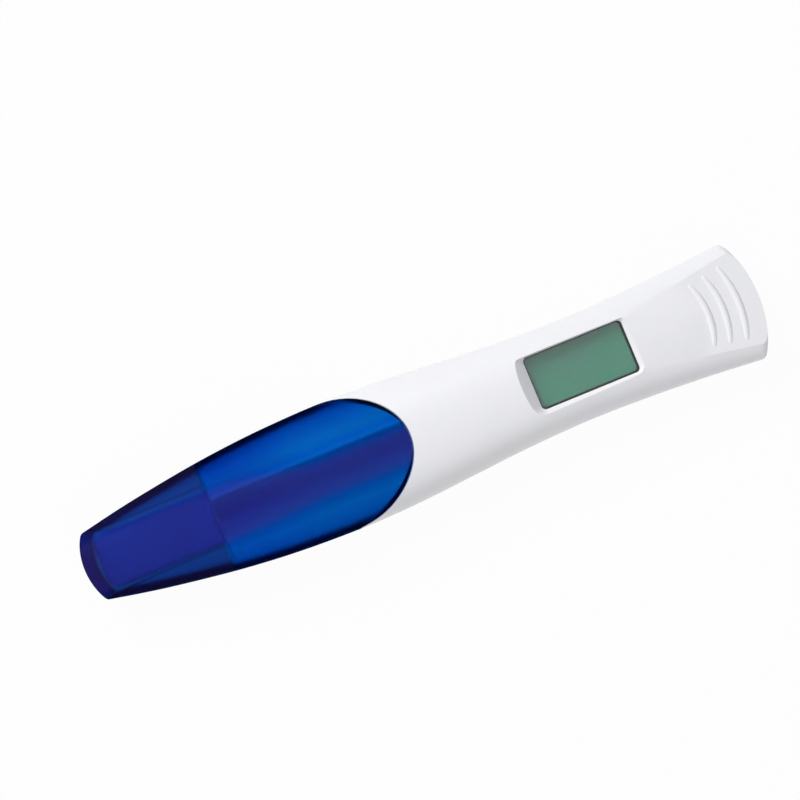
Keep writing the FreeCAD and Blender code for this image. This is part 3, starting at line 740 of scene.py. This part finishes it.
@dataclass
class InnerFinishes:
    """Finishes of the CAD nodes that stay as they are, by node."""

    finishes: dict[str, Finish] = field(default_factory=lambda: {
        "display_window": ClearFinish(
            "clear_window_polish", (0.97, 0.99, 0.98), (0.99, 1.0, 0.99), 0.02, 0.01,
            specular=0.35, grain_scale=900.0, grain_height=0.000001),
        "window_gasket": Finish(
            "black_foam_fine", srgb(14, 26, 26), srgb(20, 34, 33), 0.75, 0.1,
            grain_scale=7000.0, grain_height=0.00003),
        "front_polariser": Finish(
            "grey_green_film", srgb(6, 97, 73), srgb(40, 88, 76), 0.24, 0.05,
            specular=0.4, grain_height=0.000002),
        "front_glass": ClearFinish(
            "thin_glass_front", (0.96, 0.99, 0.97), (0.98, 1.0, 0.99), 0.015, 0.01,
            grain_height=0.0000005),
        "rear_glass": ClearFinish(
            "thin_glass_rear", (0.95, 0.99, 0.96), (0.97, 1.0, 0.98), 0.015, 0.01,
            grain_height=0.0000005),
        "reflector": Finish(
            "reflecting_film", srgb(120, 150, 138), srgb(110, 142, 130), 0.3, 0.08,
            metallic=0.6, grain_height=0.000002),
        "display_frame": Finish(
            "frame_moulding_black", srgb(24, 25, 26), srgb(32, 33, 34), 0.55, 0.1),
        "zebra_strips": Finish(
            "layered_rubber", srgb(96, 98, 98), srgb(40, 42, 44), 0.6, 0.1,
            grain=Grain.BRUSHED, grain_scale=3000.0),
        "circuit_board": Finish(
            "green_laminate", srgb(20, 104, 62), srgb(28, 120, 72), 0.36, 0.08,
            grain_scale=2600.0, grain_height=0.00001, coat=0.3),
        "microcontroller": Finish(
            "black_resin_drop", srgb(15, 15, 17), srgb(24, 24, 26), 0.22, 0.08,
            grain_scale=1800.0, grain_height=0.00001),
        "light_emitters": Finish(
            "emitter_resin", srgb(240, 232, 196), srgb(232, 220, 180), 0.2, 0.05),
        "photodiodes": Finish(
            "sensor_face_dark", srgb(28, 26, 34), srgb(40, 34, 44), 0.16, 0.05),
        "chip_resistors": Finish(
            "dark_chip_ceramic", srgb(46, 46, 48), srgb(58, 58, 60), 0.4, 0.08),
        "chip_capacitors": Finish(
            "tan_chip_ceramic", srgb(176, 148, 116), srgb(160, 132, 102), 0.45, 0.08),
        "coin_cell": Finish(
            "cell_can_steel", srgb(206, 207, 208), srgb(192, 193, 195), 0.26, 0.08,
            metallic=1.0, grain=Grain.BRUSHED, grain_scale=6000.0, grain_height=0.000003),
        "battery_contacts": Finish(
            "plated_spring", srgb(210, 200, 172), srgb(196, 186, 160), 0.3, 0.08,
            metallic=1.0, grain=Grain.BRUSHED, grain_scale=6000.0),
        "optical_block": Finish(
            "optics_moulding_black", srgb(20, 20, 21), srgb(27, 27, 28), 0.7, 0.1),
        "strip_card": Finish(
            "stiff_white_card", srgb(236, 236, 232), srgb(228, 228, 222), 0.6, 0.1,
            grain_height=0.00001),
        "conjugate_pad": Finish(
            "dyed_fibre_pad", srgb(206, 150, 160), srgb(190, 128, 142), 0.9, 0.05,
            grain=Grain.FIBROUS, grain_scale=5000.0, grain_height=0.00006),
        "test_membrane": Finish(
            "porous_membrane", srgb(245, 245, 243), srgb(238, 238, 235), 0.8, 0.08,
            grain_height=0.00001),
        "sink_pad": Finish(
            "absorbent_pad", srgb(240, 240, 236), srgb(230, 230, 224), 0.92, 0.05,
            grain=Grain.FIBROUS, grain_scale=4200.0, grain_height=0.00006),
        "wick": Finish(
            "absorbent_fibre", srgb(186, 124, 178), srgb(172, 112, 170), 0.92, 0.05,
            grain=Grain.FIBROUS, grain_scale=3600.0, grain_height=0.00006),
        "desiccant_tablet": Finish(
            "pressed_tablet", srgb(206, 206, 200), srgb(192, 192, 186), 0.85, 0.08,
            grain_scale=3600.0, grain_height=0.00003),
    })

    def build(self, nodes: dict[str, bpy.types.Object]) -> None:
        """Gives each inner node its finish.

        Args:
            nodes: The CAD nodes by name.
        """
        for name, finish in self.finishes.items():
            dress(nodes[name], finish.make())
            LOG.info("%s: %s", name, finish.name)


@dataclass(frozen=True)
class Lamp:
    """A square soft lamp that looks at the stick.

    Its place is given in metres toward the photo's right, up in the photo and over the floor.
    """

    name: str
    place: tuple[float, float, float]
    size: float
    power: float


@dataclass
class Studio:
    """Floor, soft lamps, pale surroundings and the camera over the stick."""

    stick_turn: float = math.radians(22.3)
    tilt_across: float = math.radians(5.5)
    tilt_along: float = math.radians(1.0)
    distance: float = 0.6
    lens: float = 135.0
    sensor_width: float = 36.0
    nearest: float = 0.01
    aim: tuple[float, float, float] = (-4.4 * MM, 6.4 * MM, 8.0 * MM)
    lamps: tuple[Lamp, ...] = (
        Lamp("soft_key", (-0.75, 0.6, 0.85), 0.7, 12.3),
        Lamp("soft_fill", (0.15, -0.55, 0.6), 0.8, 1.8),
    )
    ambient: float = 0.4
    ambient_colour: Colour = (0.985, 0.98, 1.0)
    floor_size: float = 3.0
    floor_drop: float = 0.00005
    floor_colour: Colour = (0.7, 0.7, 0.7)
    floor_glow_share: float = 0.96

    def directions(self) -> tuple[Vector, Vector, Vector]:
        """The photo's right and up, and the way to the camera.

        Returns:
            Right, up and toward the camera, as unit vectors.
        """
        right = Vector((math.cos(self.stick_turn), -math.sin(self.stick_turn), 0))
        up = Vector((math.sin(self.stick_turn), math.cos(self.stick_turn), 0))
        lean = right * math.tan(self.tilt_along) - up * math.tan(self.tilt_across)
        return right, up, (Vector((0, 0, 1)) + lean).normalized()

    def spot(self, place: tuple[float, float, float]) -> Vector:
        """Turns a place toward the photo's right, up in it and over the floor into the frame's."""
        right, up, _ = self.directions()
        return right * place[0] + up * place[1] + Vector((0, 0, place[2]))

    def build_camera(self) -> None:
        """Places the camera."""
        _, up, toward = self.directions()
        data = bpy.data.cameras.new("camera")
        data.lens = self.lens
        data.sensor_width = self.sensor_width
        data.clip_start = self.nearest
        camera = bpy.data.objects.new("camera", data)
        camera.location = self.spot(self.aim) + toward * self.distance
        across = up.cross(toward).normalized()
        camera.rotation_euler = turn_from_axes(across, toward.cross(across).normalized(), toward)
        bpy.context.scene.collection.objects.link(camera)
        bpy.context.scene.camera = camera

    def build_lamps(self) -> None:
        """A large soft lamp from the photo's upper left and a weak one from below it."""
        for lamp in self.lamps:
            data = bpy.data.lights.new(lamp.name, "AREA")
            data.shape = "SQUARE"
            data.size = lamp.size
            data.energy = lamp.power
            light = bpy.data.objects.new(lamp.name, data)
            light.location = self.spot(lamp.place)
            light.rotation_euler = (-light.location).to_track_quat("-Z", "Y").to_euler()
            bpy.context.scene.collection.objects.link(light)

    def build_world(self) -> None:
        """Pale surroundings that the camera sees as white."""
        world = bpy.data.worlds.new("pale_surroundings")
        bpy.context.scene.world = world
        world.use_nodes = True
        graph = NodeGraph(world.node_tree)
        graph.tree.nodes.clear()
        output = graph.add("ShaderNodeOutputWorld")
        seen = graph.add("ShaderNodeBackground", Color=rgba(WHITE), Strength=1.0)
        given = graph.add("ShaderNodeBackground", Color=rgba(self.ambient_colour),
                          Strength=self.ambient)
        mixed = graph.mix_shaders(self.straight_rays(graph), given, seen)
        graph.link(mixed.outputs[0], output.inputs["Surface"])

    def straight_rays(self, graph: NodeGraph) -> Socket:
        """1 for rays from the camera, also after a mirror or through clear plastic.

        Args:
            graph: The node graph.

        Returns:
            The value's socket.
        """
        rays = graph.add("ShaderNodeLightPath").outputs
        value = rays["Is Camera Ray"]
        for kind in ("Is Glossy Ray", "Is Transmission Ray"):
            value = graph.calculate("MAXIMUM", value, rays[kind])
        return value

    def build_floor(self) -> None:
        """A white floor that keeps a faint shadow of the stick."""
        mesh = bpy.data.meshes.new("floor")
        shape = bmesh.new()
        bmesh.ops.create_grid(shape, x_segments=1, y_segments=1, size=self.floor_size / 2)
        bmesh.ops.translate(shape, verts=shape.verts, vec=(0, 0, -self.floor_drop))
        shape.to_mesh(mesh)
        shape.free()
        floor = bpy.data.objects.new("floor", mesh)
        bpy.context.scene.collection.objects.link(floor)
        material, graph, output = new_material("white_table")
        matt = graph.add("ShaderNodeBsdfDiffuse", Color=rgba(self.floor_colour))
        glow = graph.add("ShaderNodeEmission", Color=rgba(WHITE), Strength=1.0)
        faint = graph.mix_shaders(self.floor_glow_share, matt, glow)
        mixed = graph.mix_shaders(self.straight_rays(graph), matt, faint)
        graph.link(mixed.outputs[0], output.inputs["Surface"])
        floor.data.materials.append(material)

    def build(self) -> None:
        """Sets the whole stage."""
        bpy.context.scene.view_settings.view_transform = "Standard"
        self.build_world()
        self.build_lamps()
        self.build_floor()
        self.build_camera()
        LOG.info("stage: floor, %d lamps, camera", len(self.lamps))


def turn_from_axes(x_axis: Vector, y_axis: Vector, z_axis: Vector) -> Euler:
    """The turn whose columns are three axes."""
    return Matrix((x_axis, y_axis, z_axis)).transposed().to_euler()


def main() -> None:
    """Builds the stick's looks and the stage."""
    logging.basicConfig(level=logging.INFO, format="%(name)s: %(message)s")
    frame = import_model()
    Shells().build(frame["nodes"])
    InnerFinishes().build(frame["nodes"])
    Studio().build()


if __name__ == "__main__":
    main()
